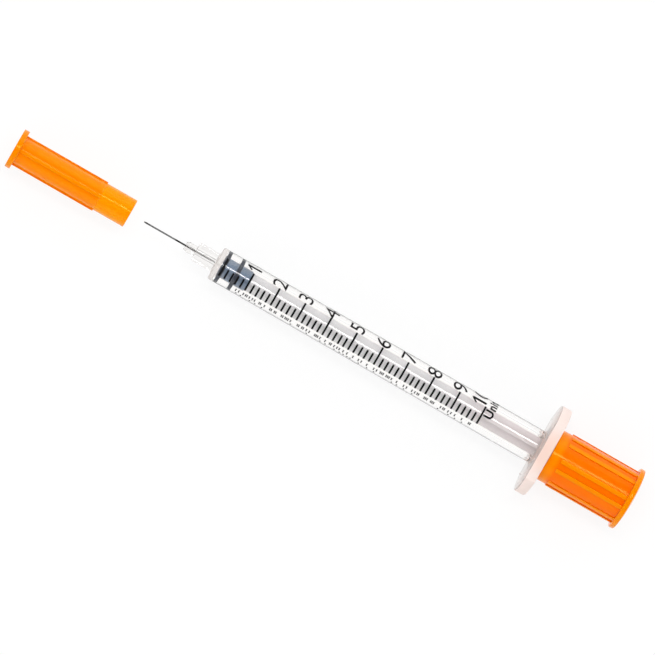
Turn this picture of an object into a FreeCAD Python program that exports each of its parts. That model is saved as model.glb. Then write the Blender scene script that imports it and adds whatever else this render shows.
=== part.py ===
"""A 1 mL insulin syringe with a fixed needle, lying on the flats of its finger flange.

Millimetres. +X runs along the syringe towards the thumb end, +Z is up. The origin is the centre of the
flange's lower flat, so the syringe's axis is level above it. Every sub-part is modelled round the X axis
and lifted to that height when it is saved. Angles round the axis are in degrees from straight up, and
positive ones lean towards -Y.
"""
import FreeCAD
import Part
import math
import os

Vector = FreeCAD.Vector
CENTRE = Vector(0, 0, 0)
ALONG = Vector(1, 0, 0)
# Two places nearer than this count as the same when edges are picked
SAME_PLACE = 1e-4

# Barrel tube: 100 units of 0.01 mL over the scale's length give the bore
SCALE_LENGTH = 57.0
CAPACITY = 1000.0
BORE_D = 2 * math.sqrt(CAPACITY / SCALE_LENGTH / math.pi)
BARREL_WALL = 1.037
FRONT_WALL = 0.96
FRONT_BEVEL = 0.2

# Finger flange, with two flats that stop the syringe from rolling
FLANGE_D = 18.7
FLANGE_T = 2.2
FLANGE_ACROSS_FLATS = 14.0
FLANGE_BEVEL = 0.25
FLANGE_ROOT_ROUND = 0.6
SCALE_TO_FLANGE = 12.85

# Collar behind the flange, which the plunger cap grips
COLLAR_D = 9.1
COLLAR_WALL = 1.1
COLLAR_LENGTH = 4.0
COLLAR_LEAD = 0.3
BORE_LEAD = 0.3

# Hub: a stepped core with four fins and a well for the adhesive
HUB_CORE_D = 2.76
HUB_CORE_TAPER = 0.06
HUB_STEP = 0.27
HUB_TIP_STEP = 0.3
HUB_TIP_LENGTH = 0.7
NOSE_LENGTH = 2.34
FIN_LENGTH = 4.48
FIN_HEIGHT = 0.57
FIN_WIDTH = 1.2
FIN_COUNT = 4
FIN_LEAD = 0.25
WELL_LIP = 0.3
WELL_DEPTH = 4.6

# Needle and its adhesive
NEEDLE_D = 0.33
NEEDLE_WALL = 0.08
NEEDLE_FREE = 9.1
NEEDLE_SETBACK = 0.2
BEVEL_ANGLE = 14.0
HUB_BORE_CLEARANCE = 0.01
GLUE_AT_FLOOR = 0.115
GLUE_BEAD_LENGTH = 1.1
GLUE_SKIN = 0.035

# Stopper
STOPPER_LENGTH = 5.98
STOPPER_BODY_GAP = 0.263
STOPPER_RIB_WIDTH = 0.8
STOPPER_RIB_PITCH = 2.93
STOPPER_RIB_EDGE = 0.06
STOPPER_CLEARANCE = 0.015
STOPPER_END_GAP = 0.3
ZERO_MARK_TO_FRONT = 0.35

# Plunger
ROD_GAP = 0.543
ROD_WEB = 0.88
NOSE_NECK_D = 1.5
NOSE_NECK_LENGTH = 1.1
NOSE_HEAD_D = 2.5
NOSE_HEAD_LENGTH = 1.3
NOSE_POINT_D = 1.0
NOSE_CLEARANCE = 0.03
SEAT_DISC_T = 0.6
PAD_GAP = 0.25
PAD_T = 1.3
PAD_BEVEL = 0.35
PAD_BEHIND_FLANGE = 15.1

# Plunger cap
PCAP_GAP = 0.25
PCAP_CLEARANCE = 0.05
PCAP_WALL = 0.785
PCAP_PLAIN = 2.2
PCAP_RIB_HEIGHT = 0.26
PCAP_RIB_WIDTH = 0.92
PCAP_RIB_GROUPS = 6
PCAP_RIB_PAIR_ANGLE = 22.0
PCAP_RIM_OVERHANG = 1.05
PCAP_RIM_T = 1.08
PCAP_END_ROOM = 0.7
PCAP_END_WALL = 1.0
PCAP_DOME = 0.6
PCAP_RIM_BEVEL = 0.3
RIB_BEVEL = 0.12

# Needle cap
NCAP_SHOWN_GAP = 3.03
NCAP_CLEARANCE = 0.05
NCAP_SLEEVE_WALL = 0.9
NCAP_SLEEVE_LENGTH = 6.72
NCAP_BODY_STEP = 0.1
NCAP_RIB_HEIGHT = 0.36
NCAP_RIB_WIDTH = 0.8
NCAP_RIB_COUNT = 4
NCAP_FIN_ROOM = 1.0
NCAP_NOSE_ROOM = 0.12
NCAP_TIP_ROOM = 7.93
NCAP_RIM_OVERHANG = 1.27
NCAP_RIM_T = 1.08
NCAP_RIM_BEVEL = 0.15
NCAP_END_WALL = 1.6

# Printed graduation
MARK_COUNT = 51
MARKS_PER_LONG = 5
MARK_WIDTH = 0.32
MARK_HALF_ANGLE = 33.0
INK = 0.03

# Radii that follow from the sizes above
bore_r = BORE_D / 2
barrel_r = bore_r + BARREL_WALL
axis_height = FLANGE_ACROSS_FLATS / 2
collar_r = COLLAR_D / 2
collar_bore_r = collar_r - COLLAR_WALL
hub_core_r = HUB_CORE_D / 2
hub_step_r = hub_core_r - HUB_CORE_TAPER - HUB_STEP
hub_tip_r = hub_step_r - HUB_TIP_STEP
fin_r = hub_core_r + FIN_HEIGHT
needle_r = NEEDLE_D / 2
hub_bore_r = needle_r + HUB_BORE_CLEARANCE
well_mouth_r = hub_tip_r - WELL_LIP
well_floor_r = needle_r + GLUE_AT_FLOOR
stopper_rib_r = bore_r - STOPPER_CLEARANCE
stopper_body_r = bore_r - STOPPER_BODY_GAP
rod_r = bore_r - ROD_GAP
pcap_bore_r = collar_r + PCAP_CLEARANCE
pcap_r = pcap_bore_r + PCAP_WALL
pcap_rim_r = pcap_r + PCAP_RIM_OVERHANG
pad_r = pcap_bore_r - PAD_GAP
ncap_grip_r = fin_r + NCAP_CLEARANCE
ncap_sleeve_r = ncap_grip_r + NCAP_SLEEVE_WALL
ncap_body_r = ncap_sleeve_r - NCAP_BODY_STEP
ncap_rim_r = ncap_body_r + NCAP_RIM_OVERHANG
ncap_inner_r = hub_core_r + NCAP_NOSE_ROOM

# Places along the axis, worked out from the flange forwards and backwards
flange_front = -FLANGE_T / 2
flange_rear = FLANGE_T / 2
scale_end = flange_front - SCALE_TO_FLANGE
scale_start = scale_end - SCALE_LENGTH
stopper_front = scale_start - ZERO_MARK_TO_FRONT
stopper_rear = stopper_front + STOPPER_LENGTH
bore_end = stopper_front - STOPPER_END_GAP
shoulder = bore_end - FRONT_WALL
fin_front = shoulder - FIN_LENGTH
hub_tip = fin_front - NOSE_LENGTH
needle_tip = hub_tip - NEEDLE_FREE
ncap_mouth = needle_tip - NCAP_SHOWN_GAP
ncap_inner_end = ncap_mouth - (shoulder - needle_tip) - NCAP_TIP_ROOM
ncap_end = ncap_inner_end - NCAP_END_WALL
collar_end = flange_rear + COLLAR_LENGTH
pad_front = flange_rear + PAD_BEHIND_FLANGE
pad_rear = pad_front + PAD_T
pcap_mouth = flange_rear + PCAP_GAP
pcap_inner_end = pad_rear + PCAP_END_ROOM
pcap_end = pcap_inner_end + PCAP_END_WALL


def turned(points):
    """A solid turned about the axis from a closed outline of (x, radius) points."""
    corners = [Vector(x, 0, r) for x, r in points]
    outline = Part.makePolygon(corners + corners[:1])
    return Part.Face(outline).revolve(CENTRE, ALONG, 360)


def round_bar(x0, x1, radius):
    """A plain cylinder on the axis from x0 to x1."""
    return Part.makeCylinder(radius, x1 - x0, Vector(x0, 0, 0), ALONG)


def circles_at(shape, x, radius):
    """The round edges of a shape that lie at x with the given radius."""
    found = []
    for edge in shape.Edges:
        curve = edge.Curve
        if isinstance(curve, Part.Circle):
            if abs(curve.Center.x - x) < SAME_PLACE and abs(curve.Radius - radius) < SAME_PLACE:
                found.append(edge)
    return found


def turn_about_axis(shape, angle):
    """The shape turned round the syringe's axis, positive angles towards -Y."""
    turned_copy = shape.copy()
    turned_copy.rotate(CENTRE, ALONG, angle)
    return turned_copy


def long_rib(x0, x1, root_r, tip_r, width, bevel, front_sign):
    """A straight rib on top of a tube, bevelled along its tip and at its free end."""
    bar = Part.makeBox(x1 - x0, width, tip_r - root_r, Vector(x0, -width / 2, root_r))
    free_end = x0 if front_sign < 0 else x1
    soft = []
    for edge in bar.Edges:
        middle = edge.CenterOfMass
        at_tip = abs(middle.z - tip_r) < SAME_PLACE
        along = abs(abs(middle.y) - width / 2) < SAME_PLACE
        at_free_end = abs(middle.x - free_end) < SAME_PLACE
        if at_tip and (along or at_free_end):
            soft.append(edge)
    return bar.makeChamfer(bevel, soft)


def flange():
    """The round finger plate with its two flats, all its outline edges bevelled."""
    plate = round_bar(flange_front, flange_rear, FLANGE_D / 2)
    slab = Part.makeBox(FLANGE_T, FLANGE_D, FLANGE_ACROSS_FLATS,
                        Vector(flange_front, -FLANGE_D / 2, -FLANGE_ACROSS_FLATS / 2))
    plate = plate.common(slab)
    rim_edges = []
    for edge in plate.Edges:
        x = edge.CenterOfMass.x
        if abs(x - flange_front) < SAME_PLACE or abs(x - flange_rear) < SAME_PLACE:
            rim_edges.append(edge)
    return plate.makeChamfer(FLANGE_BEVEL, rim_edges)


def hub():
    """The nozzle: a stepped, slightly tapered core with fins that carry the needle cap."""
    tip_start = hub_tip + HUB_TIP_LENGTH
    core = turned([
        (hub_tip, 0),
        (hub_tip, hub_tip_r),
        (tip_start, hub_step_r),
        (fin_front, hub_step_r),
        (fin_front, hub_core_r - HUB_CORE_TAPER),
        (shoulder, hub_core_r),
        (bore_end, hub_core_r),
        (bore_end, 0),
    ])
    fin = Part.makeBox(bore_end - fin_front, FIN_WIDTH, fin_r, Vector(fin_front, -FIN_WIDTH / 2, 0))
    fins = [turn_about_axis(fin, 360.0 * i / FIN_COUNT) for i in range(FIN_COUNT)]
    envelope = turned([
        (fin_front, 0),
        (fin_front, fin_r - FIN_LEAD),
        (fin_front + FIN_LEAD, fin_r),
        (bore_end, fin_r),
        (bore_end, 0),
    ])
    star = fins[0].multiFuse(fins[1:]).common(envelope)
    return core.fuse(star)


def glue_well():
    """The tapered hollow in the hub's tip, from its mouth to its floor."""
    floor = hub_tip + WELL_DEPTH
    return turned([
        (hub_tip, 0),
        (hub_tip, well_mouth_r),
        (floor, well_floor_r),
        (floor, 0),
    ])


def barrel():
    """Tube, front wall, hub, flange and collar, moulded in one."""
    tube = round_bar(shoulder, flange_rear, barrel_r)
    tube = tube.makeChamfer(FRONT_BEVEL, circles_at(tube, shoulder, barrel_r))
    collar = turned([
        (flange_front, bore_r),
        (flange_front, collar_r),
        (collar_end - COLLAR_LEAD, collar_r),
        (collar_end, collar_r - COLLAR_LEAD),
        (collar_end, collar_bore_r),
        (flange_rear, collar_bore_r),
        (flange_rear, bore_r),
    ])
    body = tube.multiFuse([flange(), collar, hub()]).removeSplitter()
    root = circles_at(body, flange_front, barrel_r)
    body = body.makeFillet(FLANGE_ROOT_ROUND, root)
    bore = turned([
        (bore_end, 0),
        (bore_end, bore_r),
        (flange_rear - BORE_LEAD, bore_r),
        (flange_rear, bore_r + BORE_LEAD),
        (flange_rear, 0),
    ])
    needle_way = round_bar(hub_tip, bore_end, hub_bore_r)
    return body.cut(bore).cut(needle_way).cut(glue_well()).removeSplitter()


def needle():
    """The steel tube, its tip cut slantwise with the opening facing up."""
    rear = bore_end - NEEDLE_SETBACK
    tube = round_bar(needle_tip, rear, needle_r)
    tube = tube.cut(round_bar(needle_tip, rear, needle_r - NEEDLE_WALL))
    run = NEEDLE_D / math.tan(math.radians(BEVEL_ANGLE))
    wedge_side = Part.makePolygon([
        Vector(needle_tip, -NEEDLE_D, -needle_r),
        Vector(needle_tip + run, -NEEDLE_D, needle_r),
        Vector(needle_tip + run, -NEEDLE_D, NEEDLE_D),
        Vector(needle_tip - NEEDLE_D, -NEEDLE_D, NEEDLE_D),
        Vector(needle_tip - NEEDLE_D, -NEEDLE_D, -needle_r),
        Vector(needle_tip, -NEEDLE_D, -needle_r),
    ])
    wedge = Part.Face(wedge_side).extrude(Vector(0, 2 * NEEDLE_D, 0))
    return tube.cut(wedge)


def needle_glue():
    """The adhesive that fills the well and creeps a little way along the needle."""
    bead_front = hub_tip - GLUE_BEAD_LENGTH
    bead = turned([
        (bead_front, 0),
        (bead_front, needle_r + GLUE_SKIN),
        (hub_tip, well_mouth_r),
        (hub_tip, 0),
    ])
    fill = bead.fuse(glue_well()).removeSplitter()
    return fill.cut(round_bar(bead_front, hub_tip + WELL_DEPTH, needle_r))


def nose_outline(clearance):
    """Outline of the plunger's snap nose, or of the hollow that holds it."""
    neck_front = stopper_rear - NOSE_NECK_LENGTH - clearance
    head_front = neck_front - NOSE_HEAD_LENGTH
    return [
        (stopper_rear, 0),
        (stopper_rear, NOSE_NECK_D / 2 + clearance),
        (neck_front + 2 * clearance, NOSE_NECK_D / 2 + clearance),
        (neck_front + 2 * clearance, NOSE_HEAD_D / 2 + clearance),
        (head_front, NOSE_POINT_D / 2 + clearance),
        (head_front - clearance, NOSE_POINT_D / 2),
        (head_front - clearance, 0),
    ]


def stopper():
    """The rubber piston with its two sealing ribs and the hollow for the plunger's nose."""
    rib_starts = [stopper_front, stopper_front + STOPPER_RIB_PITCH]
    piston = round_bar(stopper_front, stopper_rear, stopper_body_r)
    for start in rib_starts:
        end = start + STOPPER_RIB_WIDTH
        ring = round_bar(start, end, stopper_rib_r)
        edges = circles_at(ring, start, stopper_rib_r) + circles_at(ring, end, stopper_rib_r)
        piston = piston.fuse(ring.makeChamfer(STOPPER_RIB_EDGE, edges))
    return piston.removeSplitter().cut(turned(nose_outline(NOSE_CLEARANCE)))


def plunger():
    """The cross-shaped rod with its snap nose, seat disc and thumb pad."""
    seat = round_bar(stopper_rear, stopper_rear + SEAT_DISC_T, rod_r)
    web = Part.makeBox(pad_front - stopper_rear, ROD_WEB, 2 * rod_r,
                       Vector(stopper_rear, -ROD_WEB / 2, -rod_r))
    pad = round_bar(pad_front, pad_rear, pad_r)
    pad_edges = circles_at(pad, pad_front, pad_r) + circles_at(pad, pad_rear, pad_r)
    pad = pad.makeChamfer(PAD_BEVEL, pad_edges)
    nose = turned(nose_outline(0))
    return nose.multiFuse([seat, web, turn_about_axis(web, 90), pad]).removeSplitter()


def plunger_cap():
    """The orange cup over the thumb pad: plain sleeve, paired ribs and a domed, rimmed end."""
    rim_front = pcap_end - PCAP_RIM_T
    cup = round_bar(pcap_mouth, pcap_end, pcap_r)
    rim = round_bar(rim_front, pcap_end + PCAP_DOME, pcap_rim_r)
    dome_r = (pcap_rim_r ** 2 + PCAP_DOME ** 2) / (2 * PCAP_DOME)
    ball = Part.makeSphere(dome_r, Vector(pcap_end + PCAP_DOME - dome_r, 0, 0))
    rim = rim.common(ball)
    edges = circles_at(rim, rim_front, pcap_rim_r) + circles_at(rim, pcap_end, pcap_rim_r)
    rim = rim.makeChamfer(PCAP_RIM_BEVEL, edges)
    rib = long_rib(pcap_mouth + PCAP_PLAIN, rim_front + PCAP_RIM_BEVEL, pcap_r - PCAP_WALL / 2,
                   pcap_r + PCAP_RIB_HEIGHT, PCAP_RIB_WIDTH, RIB_BEVEL, -1)
    ribs = []
    for group in range(PCAP_RIB_GROUPS):
        angle = 360.0 * group / PCAP_RIB_GROUPS
        ribs.append(turn_about_axis(rib, angle))
        ribs.append(turn_about_axis(rib, angle + PCAP_RIB_PAIR_ANGLE))
    hollow = round_bar(pcap_mouth, pcap_inner_end, pcap_bore_r)
    return cup.multiFuse([rim] + ribs).cut(hollow)


def needle_cap():
    """The orange needle sheath: plain sleeve, ribbed body and a disc that closes its far end."""
    rim_rear = ncap_end + NCAP_RIM_T
    sleeve_front = ncap_mouth - NCAP_SLEEVE_LENGTH
    grip_end = ncap_mouth - FIN_LENGTH - NCAP_FIN_ROOM
    sheath = round_bar(rim_rear, sleeve_front, ncap_body_r)
    sleeve = round_bar(sleeve_front, ncap_mouth, ncap_sleeve_r)
    rim = round_bar(ncap_end, rim_rear, ncap_rim_r)
    edges = circles_at(rim, ncap_end, ncap_rim_r) + circles_at(rim, rim_rear, ncap_rim_r)
    rim = rim.makeChamfer(NCAP_RIM_BEVEL, edges)
    rib = long_rib(rim_rear - NCAP_RIM_BEVEL, sleeve_front + RIB_BEVEL,
                   (ncap_inner_r + ncap_body_r) / 2, ncap_body_r + NCAP_RIB_HEIGHT,
                   NCAP_RIB_WIDTH, RIB_BEVEL, 1)
    ribs = [turn_about_axis(rib, 360.0 * i / NCAP_RIB_COUNT) for i in range(NCAP_RIB_COUNT)]
    hollow = turned([
        (ncap_inner_end, 0),
        (ncap_inner_end, ncap_inner_r),
        (grip_end, ncap_inner_r),
        (grip_end, ncap_grip_r),
        (ncap_mouth, ncap_grip_r),
        (ncap_mouth, 0),
    ])
    return sheath.multiFuse([sleeve, rim] + ribs).cut(hollow)


def scale_mark(x, start_angle, span):
    """One printed line: a thin pad that follows the barrel's curve."""
    x0 = x - MARK_WIDTH / 2
    pad = Part.makePlane(MARK_WIDTH, INK, Vector(x0, 0, barrel_r), Vector(0, -1, 0), ALONG)
    swept = pad.revolve(CENTRE, ALONG, span)
    return turn_about_axis(swept, start_angle)


def scale_marks():
    """All the graduation's lines: long ones every ten units, short ones every two."""
    pitch = SCALE_LENGTH / (MARK_COUNT - 1)
    marks = []
    for i in range(MARK_COUNT):
        x = scale_start + i * pitch
        if i % MARKS_PER_LONG == 0:
            marks.append(scale_mark(x, -MARK_HALF_ANGLE, 2 * MARK_HALF_ANGLE))
        else:
            marks.append(scale_mark(x, 0, MARK_HALF_ANGLE))
    return Part.makeCompound(marks)


def save(name, shape):
    """Lift a sub-part to the height at which the syringe lies, and write it."""
    placed = shape.copy()
    placed.translate(Vector(0, 0, axis_height))
    placed.exportStep("parts/" + name + ".step")
    box = placed.optimalBoundingBox(True, False)
    print(name, "solids", len(placed.Solids), "valid", placed.isValid(), "volume", round(placed.Volume, 2),
          "x", round(box.XMin, 2), round(box.XMax, 2), "z", round(box.ZMin, 2), round(box.ZMax, 2))


os.makedirs("parts", exist_ok=True)
save("barrel", barrel())
save("needle", needle())
save("needle_glue", needle_glue())
save("stopper", stopper())
save("plunger", plunger())
save("plunger_cap", plunger_cap())
save("needle_cap", needle_cap())
save("scale_marks", scale_marks())
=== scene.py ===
# %% [markdown]
# # A syringe and its loosened cap, dressed in Blender
#
# This lesson takes a small clear medical syringe that is already the right size and gives it its looks:
# glass-clear plastic, orange caps, a rubber stopper, a fine steel needle and black printing.
# The measured parts come in first, as a fixed frame. Whatever is modelled here sits on that frame.

# %% Load the measured parts
import bpy
import math
from mathutils import Matrix, Vector


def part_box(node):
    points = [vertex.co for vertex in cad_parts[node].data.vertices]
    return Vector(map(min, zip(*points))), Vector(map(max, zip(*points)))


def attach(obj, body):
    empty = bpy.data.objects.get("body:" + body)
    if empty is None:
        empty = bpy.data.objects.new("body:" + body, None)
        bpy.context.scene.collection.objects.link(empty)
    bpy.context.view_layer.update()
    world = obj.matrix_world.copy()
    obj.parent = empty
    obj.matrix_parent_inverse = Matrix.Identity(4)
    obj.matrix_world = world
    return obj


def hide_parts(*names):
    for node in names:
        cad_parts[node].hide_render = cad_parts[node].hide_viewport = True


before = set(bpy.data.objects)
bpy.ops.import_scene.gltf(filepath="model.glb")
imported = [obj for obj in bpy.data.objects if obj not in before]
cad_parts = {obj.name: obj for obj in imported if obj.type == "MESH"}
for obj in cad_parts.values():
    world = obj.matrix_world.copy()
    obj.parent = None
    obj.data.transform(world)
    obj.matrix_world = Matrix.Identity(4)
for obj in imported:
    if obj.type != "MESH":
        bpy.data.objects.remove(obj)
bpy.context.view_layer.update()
print("parts:", sorted(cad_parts))

# %% [markdown]
# ## Millimetres on the bench, metres in the scene
#
# The wall of the real tube is one millimetre thick, and the ribs of its cap stand a quarter of one high.
# Blender's bevel, bisect and merge tools round such small numbers off when they are given in metres.
# So each piece is modelled in millimetres, round the X axis, and the last step of each piece shrinks it
# to metres and lifts it to the height at which the syringe lies.

# %% Places read from the frame
MM = 0.001
under_barrel, over_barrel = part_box("barrel")
AXIS_HEIGHT = (under_barrel.z + over_barrel.z) / 2


def bench_box(node):
    """The corners of a measured part in millimetres, with heights counted from the syringe's axis."""
    low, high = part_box(node)
    axis = Vector((0, 0, AXIS_HEIGHT))
    return (low - axis) / MM, (high - axis) / MM


barrel_low, barrel_high = bench_box("barrel")
hub_tip = barrel_low.x
collar_end = barrel_high.x
flange_r = barrel_high.y
flat_height = barrel_high.z
print("the axis lies", round(AXIS_HEIGHT / MM, 2), "mm above the table")

# %% [markdown]
# ## Selecting nothing first
#
# Every operator in Blender acts on what is selected, and the parts that were just loaded are all
# selected. A habit worth having is to clear the selection before each new piece. The helpers below
# do that, and they also hand a piece in and out of edit mode.

# %% Helpers for the selection and for edit mode
import bmesh


def pick(*pieces):
    """Select these pieces and nothing else. The last one is the active one."""
    if bpy.context.object and bpy.context.object.mode != "OBJECT":
        bpy.ops.object.mode_set(mode="OBJECT")
    bpy.ops.object.select_all(action="DESELECT")
    for piece in pieces:
        piece.select_set(True)
        bpy.context.view_layer.objects.active = piece


def edit(piece, mode="FACE"):
    """Open a piece in edit mode with nothing selected."""
    pick(piece)
    bpy.ops.object.mode_set(mode="EDIT")
    bpy.ops.mesh.select_mode(type=mode)
    bpy.ops.mesh.select_all(action="DESELECT")


def leave_edit():
    """Close edit mode."""
    bpy.ops.object.mode_set(mode="OBJECT")


def select_where(piece, kind, test):
    """In edit mode, select the edges or faces that pass a test, and count them."""
    shape = bmesh.from_edit_mesh(piece.data)
    count = 0
    for element in getattr(shape, kind):
        if test(element):
            element.select_set(True)
            count += 1
    shape.select_flush_mode()
    bmesh.update_edit_mesh(piece.data)
    return count


print("helpers ready")

# %% [markdown]
# ## Turning a piece, ring by ring
#
# Most of this syringe is round: it was moulded in turned steel. In Blender a turned piece can be made
# with the Screw modifier, with Spin, or by drawing one ring of points out along the axis and changing
# its size as it goes. The last way is used here, because each step matches one line of the outline, and
# because a ring that is drawn back inside the tube makes the bore and the wall in the same go. A solid
# outline starts and ends a little off the axis, and a flat face closes the small hole at either end.

# %% The turning helper
SIDES = 192
MERGE = 0.0005


def turned(name, outline, sides=SIDES, loop=False):
    """Turn an outline of (x, radius) points round the X axis. A loop comes back to its first point."""
    pick()
    x, radius = outline[0]
    bpy.ops.mesh.primitive_circle_add(vertices=sides, radius=radius, location=(x, 0, 0),
                                      rotation=(0, math.pi / 2, 0))
    piece = bpy.context.object
    piece.name = name
    bpy.ops.object.transform_apply(location=True, rotation=True, scale=True)
    bpy.ops.object.mode_set(mode="EDIT")
    bpy.ops.mesh.select_all(action="SELECT")
    rest = outline[1:] + outline[:1] if loop else outline[1:]
    for next_x, next_radius in rest:
        bpy.ops.mesh.extrude_region_move(TRANSFORM_OT_translate={"value": (next_x - x, 0, 0)})
        growth = next_radius / radius
        bpy.ops.transform.resize(value=(1, growth, growth), center_override=(0, 0, 0))
        x, radius = next_x, next_radius
    bpy.ops.mesh.select_all(action="SELECT")
    bpy.ops.mesh.remove_doubles(threshold=MERGE)
    if not loop:
        bpy.ops.mesh.fill_holes(sides=0)
    bpy.ops.mesh.select_all(action="SELECT")
    bpy.ops.mesh.normals_make_consistent(inside=False)
    bpy.ops.object.mode_set(mode="OBJECT")
    return piece


def arc(centre_x, centre_r, radius, start, end, steps):
    """Points on a round corner of an outline, from one angle to another in degrees."""
    points = []
    for i in range(steps + 1):
        angle = math.radians(start + (end - start) * i / steps)
        points.append((centre_x + radius * math.cos(angle), centre_r + radius * math.sin(angle)))
    return points


print("a turned piece has", SIDES, "sides")

# %% [markdown]
# ## Joining and finishing
#
# Two more steps come back all the time. A Boolean modifier joins a rib to a tube without leaving a wall
# between them, which matters in clear plastic, where a hidden wall would show. And the finish turns the
# bench piece into a piece of the scene: metres, the right height, smooth shading, a material, and a
# ride on the body that carries it.

# %% Helpers for joining and finishing
SMOOTH_ANGLE = math.radians(32)
ROUND_STEPS = 3


def combine(piece, other):
    """Join another piece to this one, and remove the other."""
    pick(piece)
    bpy.ops.object.modifier_add(type="BOOLEAN")
    step = piece.modifiers[-1]
    step.operation = "UNION"
    step.solver = "EXACT"
    step.object = other
    bpy.ops.object.modifier_apply(modifier=step.name)
    bpy.data.objects.remove(other)


def copies_round_axis(piece, angles):
    """Copy a piece to each angle round the X axis, in degrees, and join the copies into one piece."""
    made = []
    for angle in angles:
        copy = piece.copy()
        copy.data = piece.data.copy()
        bpy.context.scene.collection.objects.link(copy)
        copy.data.transform(Matrix.Rotation(math.radians(angle), 4, "X"))
        made.append(copy)
    bpy.data.objects.remove(piece)
    pick(*made)
    bpy.ops.object.join()
    return bpy.context.object


def rounded_bar(name, low, high, bevel, test):
    """A bar between two corners. The edges whose middle passes the test are rounded off."""
    pick()
    centre = (Vector(low) + Vector(high)) / 2
    bpy.ops.mesh.primitive_cube_add(size=1, location=centre)
    bar = bpy.context.object
    bar.name = name
    bar.scale = Vector(high) - Vector(low)
    bpy.ops.object.transform_apply(location=True, rotation=True, scale=True)
    edit(bar, "EDGE")
    select_where(bar, "edges", lambda edge: test((edge.verts[0].co + edge.verts[1].co) / 2))
    bpy.ops.mesh.bevel(offset=bevel, segments=ROUND_STEPS, affect="EDGES")
    leave_edit()
    return bar


def finish_piece(piece, material, body, node=None, smooth=SMOOTH_ANGLE):
    """Bring a bench piece into the scene: metres, height, shading, material, body and slot."""
    pick(piece)
    piece.data.transform(Matrix.Translation((0, 0, AXIS_HEIGHT)) @ Matrix.Scale(MM, 4))
    bpy.ops.object.shade_smooth_by_angle(angle=smooth)
    piece.data.materials.clear()
    piece.data.materials.append(material)
    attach(piece, body)
    if node:
        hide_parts(node)
    print(piece.name, "has", len(piece.data.polygons), "faces")
    return piece


print("finishing helpers ready")

# %% [markdown]
# ## Writing shader maths as arithmetic
#
# A material is a graph of small boxes. Wired by hand, even `1 - mask` takes a box and two cords. The
# class below wraps one output of a box, so that Python's own operators add the Math boxes. Everything
# else comes from one method, which takes the kind of box, its settings and what goes into its sockets.

# %% A small language for materials


class Value:
    """One number that a node puts out, ready for plain arithmetic."""

    def __init__(self, tree, socket):
        self.tree = tree
        self.socket = socket

    def math(self, operation, first, second):
        """Add a Math node for two values or numbers."""
        node = self.tree.nodes.new("ShaderNodeMath")
        node.operation = operation
        for place, value in zip(node.inputs, (first, second)):
            feed(self.tree, place, value)
        return Value(self.tree, node.outputs[0])

    def __add__(self, other):
        return self.math("ADD", self, other)

    def __radd__(self, other):
        return self.math("ADD", other, self)

    def __sub__(self, other):
        return self.math("SUBTRACT", self, other)

    def __rsub__(self, other):
        return self.math("SUBTRACT", other, self)

    def __mul__(self, other):
        return self.math("MULTIPLY", self, other)

    def __rmul__(self, other):
        return self.math("MULTIPLY", other, self)


def feed(tree, place, value):
    """Give a socket a link, a number, or a colour or vector."""
    if isinstance(value, Value):
        tree.links.new(value.socket, place)
    else:
        place.default_value = value


class Graph:
    """The nodes of one material or of the world."""

    def __init__(self, tree):
        self.tree = tree

    def node(self, kind, settings=None, sockets=None, output=0):
        """Add a node: its settings first, then what its sockets get. One of its outputs comes back."""
        made = self.tree.nodes.new(kind)
        for name, value in (settings or {}).items():
            setattr(made, name, value)
        for name, value in (sockets or {}).items():
            feed(self.tree, made.inputs[name], value)
        return Value(self.tree, made.outputs[output])


class Finish(Graph):
    """A surface finish, built on the Principled shader and on the piece's own coordinates."""

    def __init__(self, name, **constants):
        self.material = bpy.data.materials.new(name)
        self.material.use_nodes = True
        super().__init__(self.material.node_tree)
        self.shader = self.tree.nodes["Principled BSDF"]
        self.wear(**constants)
        self.place = self.node("ShaderNodeTexCoord", output="Object")

    def wear(self, **sockets):
        """Feed the shader's sockets, named with underscores, with constants or with what varies."""
        for socket, value in sockets.items():
            feed(self.tree, self.shader.inputs[socket.replace("_", " ")], value)

    def noise(self, along, across, detail=3.0):
        """Cloudy variation between 0 and 1, with grains as long and as wide as is asked, in metres."""
        where = self.node("ShaderNodeMapping", {},
                          {"Vector": self.place, "Scale": (1 / along, 1 / across, 1 / across)})
        return self.node("ShaderNodeTexNoise", {},
                         {"Vector": where, "Scale": 1.0, "Detail": detail, "Roughness": 0.5}, "Fac")

    def ramp_up(self, number, start, length):
        """A mask that grows from 0 to 1 over a length, from a start."""
        return self.node("ShaderNodeMapRange", {"interpolation_type": "SMOOTHSTEP"},
                         {"Value": number, "From Min": start, "From Max": start + length})

    def ramp_down(self, number, start, length):
        """A mask that falls from 1 to 0 over a length, from a start."""
        return 1 - self.ramp_up(number, start, length)

    def blend(self, factor, first, second):
        """A colour between two colours."""
        return self.node("ShaderNodeMix", {"data_type": "RGBA"},
                         {0: factor, 6: first, 7: second}, 2)

    def bump(self, height, depth):
        """Fine relief: height is 0 to 1, depth is its size in metres."""
        return self.node("ShaderNodeBump", {}, {"Height": height, "Distance": depth, "Strength": 1.0})

    def mix_in(self, other, share):
        """Mix another shader into the finish, over a share that may vary."""
        first = Value(self.tree, self.shader.outputs[0])
        both = self.node("ShaderNodeMixShader", {}, {0: share, 1: first, 2: other})
        feed(self.tree, self.tree.nodes["Material Output"].inputs["Surface"], both)

    def place_along(self):
        """Where a point of the surface is along the syringe, in metres."""
        return self.node("ShaderNodeSeparateXYZ", {}, {"Vector": self.place}, "X")

    def distance_from_axis(self):
        """How far a point of the surface is from the syringe's axis, in metres."""
        lowered = self.node("ShaderNodeVectorMath", {"operation": "SUBTRACT"},
                            {0: self.place, 1: (0, 0, AXIS_HEIGHT)})
        across = self.node("ShaderNodeVectorMath", {"operation": "MULTIPLY"}, {0: lowered, 1: (0, 1, 1)})
        return self.node("ShaderNodeVectorMath", {"operation": "LENGTH"}, {0: across}, "Value")


print("shader language ready")

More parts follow.
